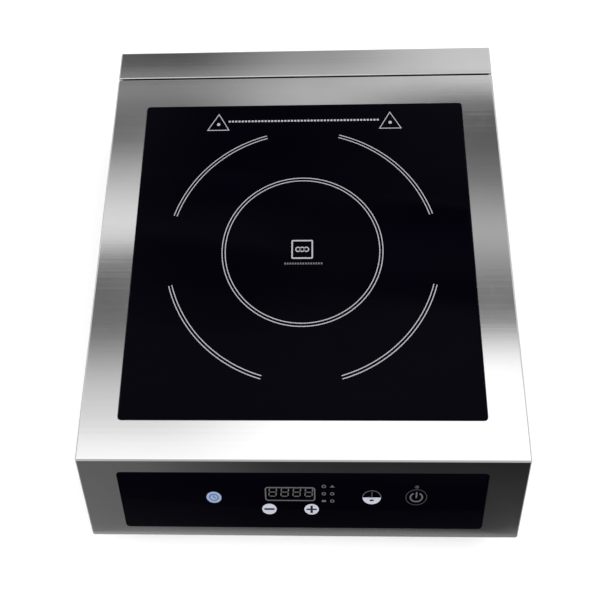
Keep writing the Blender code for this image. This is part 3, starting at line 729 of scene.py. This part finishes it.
def placed(bm, matrix):
    bmesh.ops.transform(bm, matrix=matrix, verts=bm.verts)
    return bm


def backwards(x, y, z):
    """A frame on the back wall, its Z pointing out of the wall."""
    return Matrix.Translation((x, y, z)) @ Matrix.Rotation(math.radians(-90), 4, "X")


def make_glass_plates():
    """Both plates with a ground and polished rim."""
    size = glass_high - glass_low
    plate = block(size, ring_centre, PLATE_CORNER, 0.7 * MM, 8)
    show("glass_top_plate", to_mesh("glass_top_plate", plate), "ceramic_glass", ["glass_top"])
    panel = block((PANEL_WIDTH, PANEL_HEIGHT, PANEL_THICK), (0, 0, -PANEL_THICK / 2),
                  PLATE_CORNER, 0.4 * MM, 8)
    show("control_glass_plate", to_mesh("control_glass_plate", placed(panel, panel_frame)),
         "ceramic_glass", ["control_glass"])


def make_feet():
    """Tapered rubber feet: a rounded rim, two side grooves and a grooved sole."""
    for where in ("front_left", "front_right", "rear_left", "rear_right"):
        node = "foot_" + where
        low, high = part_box(node)
        top = high.z
        inner = [(2.5 * MM, 11 * MM), (2.5 * MM, top)]
        rim = [(13.0 * MM, top), (13.7 * MM, top - 0.3 * MM), (14.0 * MM, top - 1.0 * MM)]
        side = []
        for groove in (top - 5 * MM, top - 9 * MM):
            radius = 12 * MM + 2 * MM * (groove - 1.5 * MM) / (top - 2.5 * MM)
            side += [(radius, groove + 0.9 * MM), (radius - 0.7 * MM, groove + 0.4 * MM),
                     (radius - 0.7 * MM, groove - 0.4 * MM), (radius - 0.1 * MM, groove - 0.9 * MM)]
        sole = [(12.0 * MM, 1.5 * MM), (11.5 * MM, 0.4 * MM), (10.5 * MM, 0), (9.2 * MM, 0),
                (8.9 * MM, 0.5 * MM), (8.3 * MM, 0.5 * MM), (8.0 * MM, 0), (6.5 * MM, 0),
                (6.0 * MM, 0.5 * MM), (6.0 * MM, 11 * MM)]
        foot = turned(inner + rim + side + sole, 56, True)
        centre = (low + high) / 2
        placed(foot, Matrix.Translation((centre.x, centre.y, 0)))
        name = "rubber_" + node
        show(name, to_mesh(name, foot), "foot_rubber", [node])


def make_cable_gland():
    low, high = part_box("cable_gland")
    out, back = high.y - low.y - 11 * MM, low.y + 11 * MM
    bore = [(4.5 * MM, -11 * MM), (4.5 * MM, out - 0.8 * MM), (5.0 * MM, out)]
    dome = quarter_round(10 * MM, out, 3.2 * MM, steps=6)[::-1]
    cap = [(10 * MM, out - 3.6 * MM, ribbed), (10 * MM, 7.2 * MM, ribbed), (10 * MM, 6.9 * MM),
           (9.3 * MM, 6.6 * MM), (9.3 * MM, 6.0 * MM)]
    flange = [(11.2 * MM, 5.8 * MM, hexagon), (11.8 * MM, 5.3 * MM, hexagon),
              (11.8 * MM, 1.6 * MM, hexagon), (11.6 * MM, 1.2 * MM), (11.8 * MM, 0.9 * MM),
              (11.8 * MM, 0), (7.7 * MM, 0)]
    gland = turned(bore + dome + cap + flange + thread(8 * MM, -0.4 * MM, -10.6 * MM, 1.5 * MM)
                   + [(7.4 * MM, -11 * MM)], 96, True)
    centre = (low + high) / 2
    placed(gland, backwards(centre.x, back, centre.z))
    show("cable_gland_body", to_mesh("cable_gland_body", gland), "nylon", ["cable_gland"])


def make_rear_hardware():
    """Bonding stud with washer and nut, and the two cross-head screws."""
    low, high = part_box("bonding_stud")
    stud = [*thread(3 * MM, -8 * MM, -0.2 * MM, 1 * MM), (2.9 * MM, 0), (7.3 * MM, 0),
            (7.5 * MM, 0.2 * MM), (7.5 * MM, 1.2 * MM), (7.3 * MM, 1.4 * MM), (5.2 * MM, 1.4 * MM),
            (5.5 * MM, 1.7 * MM, hexagon), (5.5 * MM, 5.8 * MM, hexagon), (4.9 * MM, 6.2 * MM),
            (2.9 * MM, 6.2 * MM), *thread(3 * MM, 6.5 * MM, 12.2 * MM, 1 * MM),
            (2.5 * MM, 12.8 * MM), (2.2 * MM, 13 * MM)]
    centre = (low + high) / 2
    bm = placed(turned(stud, 48), backwards(centre.x, low.y + 8 * MM, centre.z))
    show("bonding_stud_and_nut", to_mesh("bonding_stud_and_nut", bm), "brass", ["bonding_stud"])
    for side in ("left", "right"):
        node = "rear_screw_" + side
        low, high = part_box(node)
        centre = (low + high) / 2
        rise = [math.radians(angle) for angle in (0, 12, 26, 42, 60, 78)]
        head = [(3.6 * MM * math.cos(a), 2.4 * MM * math.sin(a) / math.sin(rise[-1])) for a in rise]
        shank = [(1.2 * MM, -8 * MM), *thread(1.9 * MM, -7.2 * MM, -0.3 * MM, 0.8 * MM),
                 (1.8 * MM, 0)]
        body = turned(shank + head, 40)
        bars = [block(size, (0, 0, 2.1 * MM)) for size in ((4.0 * MM, 0.8 * MM, 2.0 * MM),
                                                          (0.8 * MM, 4.0 * MM, 2.0 * MM))]
        screw = worked(to_mesh("screw", body), [to_mesh("bar", bar) for bar in bars], "DIFFERENCE")
        screw.transform(backwards(centre.x, low.y + 8 * MM, centre.z))
        show("cross_head_screw_" + side, screw, "zinc_steel", [node])


FAN_BLADES = 7


def fan_blade(root, tip, height, lead):
    """A cambered, swept blade as a closed shell of the given height, turned by lead."""
    bm = bmesh.new()
    spans, chords, thick = 7, 9, 0.9 * MM
    corners = {}
    for side in (0, 1):
        for i in range(spans):
            out = i / (spans - 1)
            radius = root + (tip - root) * out
            for j in range(chords):
                along = j / (chords - 1) - 0.5
                camber = 0.9 * MM * (1 - 4 * along * along)
                width = 13 * MM * (0.85 + 0.5 * out)
                skin = thick * (1 - 1.6 * along * along) * (1 if side else -1) / 2
                angle = lead + (width * along * 0.75 + camber + skin * 0.7) / radius + 0.16 * out
                z = height * (along * (0.98 - 0.12 * out)) - camber * 0.6 - skin * 0.7
                corners[side, i, j] = bm.verts.new((radius * math.cos(angle),
                                                    radius * math.sin(angle), z))

    def quad(*keys):
        bm.faces.new([corners[key] for key in keys])

    for i in range(spans - 1):
        for j in range(chords - 1):
            for side in (0, 1):
                quad((side, i, j), (side, i + 1, j), (side, i + 1, j + 1), (side, i, j + 1))
    for i in range(spans - 1):
        for j in (0, chords - 1):
            quad((0, i, j), (0, i + 1, j), (1, i + 1, j), (1, i, j))
    for j in range(chords - 1):
        for i in (0, spans - 1):
            quad((0, i, j), (0, i, j + 1), (1, i, j + 1), (1, i, j))
    return bm


def make_fans():
    for side in ("left", "right"):
        node = "fan_rotor_" + side
        low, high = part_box(node)
        centre, tall = (low + high) / 2, high.z - low.z
        hub = [(1.8 * MM, -tall / 2), (13 * MM, -tall / 2), (14.6 * MM, -tall / 2 + 0.6 * MM),
               (15 * MM, -tall / 2 + 1.2 * MM), *quarter_round(15 * MM, tall / 2, 2.2 * MM),
               (11 * MM, tall / 2), (10.4 * MM, tall / 2 - 0.5 * MM),
               (1.8 * MM, tall / 2 - 0.5 * MM)]
        blades = [to_mesh("blade", fan_blade(14.2 * MM, 36.3 * MM, 15 * MM,
                                             2 * math.pi * step / FAN_BLADES))
                  for step in range(FAN_BLADES)]
        rotor = worked(to_mesh("hub", turned(hub, 56, True)), blades, "UNION")
        rotor.transform(Matrix.Translation(centre))
        show("bladed_rotor_" + side, rotor, "fan_plastic", [node], "fan_" + side)

        node = "fan_frame_" + side
        low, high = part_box(node)
        centre, size = (low + high) / 2, high - low
        bore, half, plate = 38 * MM, size.z / 2, 3.5 * MM
        duct = turned([(bore, -half), (39.6 * MM, -half), (39.6 * MM, half), (bore, half)],
                      96, True)
        flanges, holes, struts = [], [], []
        for end in (-1, 1):
            lift_to = end * (half - plate / 2)
            flanges.append(to_mesh("flange", block((size.x, size.y, plate), (0, 0, lift_to), 4 * MM,
                                                   0.4 * MM)))
        for sx in (-1, 1):
            for sy in (-1, 1):
                hole = turned([(2.2 * MM, -half * 1.2), (2.2 * MM, half * 1.2)], 24)
                spot = Matrix.Translation((sx * 35.7 * MM, sy * 35.7 * MM, 0))
                holes.append(to_mesh("hole", placed(hole, spot)))
        mouth = turned([(bore, -half * 1.2), (bore, half * 1.2)], 96)
        frame_mesh = worked(to_mesh("duct", duct), flanges, "UNION")
        frame_mesh = worked(frame_mesh, [to_mesh("mouth", mouth), *holes], "DIFFERENCE")
        strut_z = half - 1.25 * MM
        for turn in range(4):
            strut = block((26 * MM, 3.4 * MM, 2.5 * MM), (26.5 * MM, 0, strut_z), 0, 0.5 * MM)
            diagonal = Matrix.Rotation(math.radians(45 + 90 * turn), 4, "Z")
            struts.append(to_mesh("strut", placed(strut, diagonal)))
        plate_rings = [(1.9 * MM, half - 2.5 * MM), (15 * MM, half - 2.5 * MM),
                       (15 * MM, half - 0.5 * MM), (14.5 * MM, half), (1.9 * MM, half)]
        struts.append(to_mesh("motor_plate", turned(plate_rings, 56, True)))
        frame_mesh = worked(frame_mesh, struts, "UNION")
        frame_mesh.transform(Matrix.Translation(centre))
        show("ducted_frame_" + side, frame_mesh, "fan_plastic", [node])


def make_coil():
    """The spiral of round litz wire, its ends closed."""
    low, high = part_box("coil_winding")
    wire = (high.z - low.z) / 2
    pitch, turns, per_turn, sides = 6.7 * MM, 11, 60, 12
    bm = bmesh.new()
    loops = []
    for index in range(turns * per_turn + 1):
        turn = index / per_turn
        angle, radius = 2 * math.pi * turn, 30 * MM + pitch * turn
        outward = Vector((math.cos(angle), math.sin(angle), 0))
        loop = []
        for side in range(sides):
            around = 2 * math.pi * side / sides
            spot = outward * (radius + wire * math.cos(around))
            loop.append(bm.verts.new((spot.x, spot.y, wire * math.sin(around))))
        loops.append(loop)
    for here, there in zip(loops, loops[1:]):
        for side in range(sides):
            after = (side + 1) % sides
            bm.faces.new((here[side], here[after], there[after], there[side]))
    bm.faces.new(loops[0])
    bm.faces.new(loops[-1])
    placed(bm, Matrix.Translation((ring_centre.x, ring_centre.y, (low.z + high.z) / 2)))
    show("litz_spiral", to_mesh("litz_spiral", bm), "litz_copper", ["coil_winding"])


make_glass_plates()
make_feet()
make_cable_gland()
make_rear_hardware()
make_fans()
make_coil()


# Studio

def make_world():
    """Softboxes and flags of a photo studio, as brightness by direction."""
    world = bpy.data.worlds.new("studio")
    world.use_nodes = True
    g = Graph(world.node_tree)
    x, y, z = g.add("SeparateXYZ", g.add("TexCoord").outputs["Generated"]).outputs
    lean_x = g.maths("DEGREES", g.maths("ARCTAN2", x, z))
    lean_y = g.maths("DEGREES", g.maths("ARCTAN2", y, z))
    span = 45.0
    share = g.maths("DIVIDE", lean_y, span, clamp=True)

    def profile(stops):
        return g.ramp(share, [(angle / span, tone) for angle, tone in stops])

    left = profile([(0, 1.05), (6.5, 0.97), (8, 0.70), (12, 0.53), (16.3, 0.14), (20.5, 0.11),
                    (22.8, 0.15), (25.1, 0.81), (28, 0.62), (33, 0.13), (35.9, 0.13), (37.5, 0.36),
                    (38.5, 0.07)])
    middle = profile([(0, 1.12), (10, 1.08), (18, 0.30), (25, 0.45), (33, 0.25), (36.8, 0.52),
                      (39, 0.26)])
    right = profile([(0, 1.15), (12.5, 1.12), (14.6, 0.87), (17.1, 0.16), (19.5, 0.13), (25, 0.43),
                     (29.5, 0.15), (33, 0.08), (36.0, 0.06), (37.5, 0.74), (39, 0.56)])
    back = g.blend(g.remap(lean_x, -15, -1, smooth=True), left, middle)
    back = g.blend(g.remap(lean_x, -1, 15, smooth=True), back, right)
    overhead = g.add("VectorMath", back, operation="SCALE")
    g.feed(overhead.inputs["Scale"], g.remap(lean_y, -32, -3, 0.38, 1.0, True))
    back = overhead.outputs[0]
    base = g.ramp(g.remap(z, -1, 1),
                  [(0, 0.62), (0.40, 0.34), (0.52, 0.30), (0.66, 0.62), (1, 1.0)])
    outside = g.maths("MAXIMUM", g.remap(g.maths("ABSOLUTE", lean_x), 24, 50, smooth=True),
                      g.remap(lean_y, 45, 70, smooth=True))
    outside = g.maths("MAXIMUM", outside, g.maths("LESS_THAN", z, 0.0))
    sky = g.blend(outside, back, base)
    azimuth = g.maths("DEGREES", g.maths("ARCTAN2", x, g.maths("MULTIPLY", y, -1.0)))
    height = g.maths("DEGREES", g.maths("ARCSINE", z))
    facing = g.remap(g.maths("ABSOLUTE", azimuth), 30, 60, 1.0, 0.0, True)
    near_horizon = g.remap(height, 7, 24, 1.0, 0.0, True)
    flag = g.ramp(g.remap(azimuth, -20, 20), [(0, 0.105), (0.12, 0.095), (0.24, 0.058),
                                                (0.40, 0.026), (0.55, 0.019), (1, 0.015)])
    flag = g.maths("ADD", flag, g.remap(height, -1, -7, 0.0, 0.025))
    sky = g.blend(g.maths("MULTIPLY", facing, near_horizon), sky, flag)
    tint = g.add("VectorMath", sky, (1.0, 0.997, 1.0), operation="MULTIPLY").outputs[0]
    light = g.add("Background", tint, 1.25)
    plain = g.add("Background", (1.0, 1.0, 1.0, 1.0), 1.0)
    seen = g.add("LightPath").outputs["Is Camera Ray"]
    mixed = g.add("MixShader", seen, light.outputs[0], plain.outputs[0])
    output = g.add("OutputWorld")
    g.feed(output.inputs[0], mixed.outputs[0])
    bpy.context.scene.world = world


def make_floor():
    """A pale disc that fades out at its rim."""
    bm = bmesh.new()
    bmesh.ops.create_circle(bm, cap_ends=True, segments=96, radius=0.62)
    mesh = bpy.data.meshes.new("floor")
    bm.to_mesh(mesh)
    bm.free()
    floor = bpy.data.objects.new("floor", mesh)
    bpy.context.scene.collection.objects.link(floor)
    made, g, where, shader = new_material("pale_floor")
    cloud = g.noise(where, 7.0, 3.0)
    g.feed(shader.inputs["Base Color"],
           g.blend(cloud, (0.965, 0.965, 0.965), (0.985, 0.985, 0.985)))
    g.feed(shader.inputs["Roughness"], g.remap(cloud, 0.3, 0.7, 0.85, 0.95))
    shader.inputs["Specular IOR Level"].default_value = 0.0
    bump(g, shader, g.noise(where, 900.0), 0.00002, 0.2)
    out = g.add("VectorMath", where, operation="LENGTH").outputs[1]
    under = g.add("NewGeometry").outputs["Backfacing"]
    mirrored = g.maths("MULTIPLY", g.add("LightPath").outputs["Is Glossy Ray"], 0.85)
    rim = g.maths("MAXIMUM", g.remap(out, 0.50, 0.61, smooth=True), under)
    clear = g.maths("MAXIMUM", rim, mirrored)
    ghost = g.add("BsdfTransparent")
    mixed = g.add("MixShader", clear, shader.outputs[0], ghost.outputs[0])
    output = next(n for n in made.node_tree.nodes if n.type == "OUTPUT_MATERIAL")
    g.feed(output.inputs[0], mixed.outputs[0])
    mesh.materials.append(made)


def soft_light(name, place, size, power):
    """A large area lamp aimed at the hob, unseen in reflections."""
    data = bpy.data.lights.new(name, "AREA")
    data.shape = "DISK"
    data.size = size
    data.energy = power
    lamp = bpy.data.objects.new(name, data)
    lamp.location = place
    lamp.rotation_euler = (Vector((0, 0, 0.05)) - Vector(place)).to_track_quat("-Z", "Y").to_euler()
    lamp.visible_glossy = False
    bpy.context.scene.collection.objects.link(lamp)


def make_camera():
    data = bpy.data.cameras.new("camera")
    data.lens = 39.66
    data.sensor_width = 36.0
    camera = bpy.data.objects.new("camera", data)
    bpy.context.scene.collection.objects.link(camera)
    place, aim = Vector((0.0169, -0.2142, 0.6013)), Vector((-0.0015, -0.0407, 0.100))
    camera.location = place
    camera.rotation_mode = "QUATERNION"
    roll = Quaternion((0, 0, 1), math.radians(-5.95))
    camera.rotation_quaternion = (aim - place).to_track_quat("-Z", "Y") @ roll
    bpy.context.scene.camera = camera


make_world()
make_floor()
soft_light("key_light", (-0.5, -0.7, 1.6), 1.4, 13.0)
soft_light("fill_light", (0.9, 0.6, 1.5), 1.6, 12.5)
make_camera()
bpy.context.scene.view_settings.view_transform = "Standard"
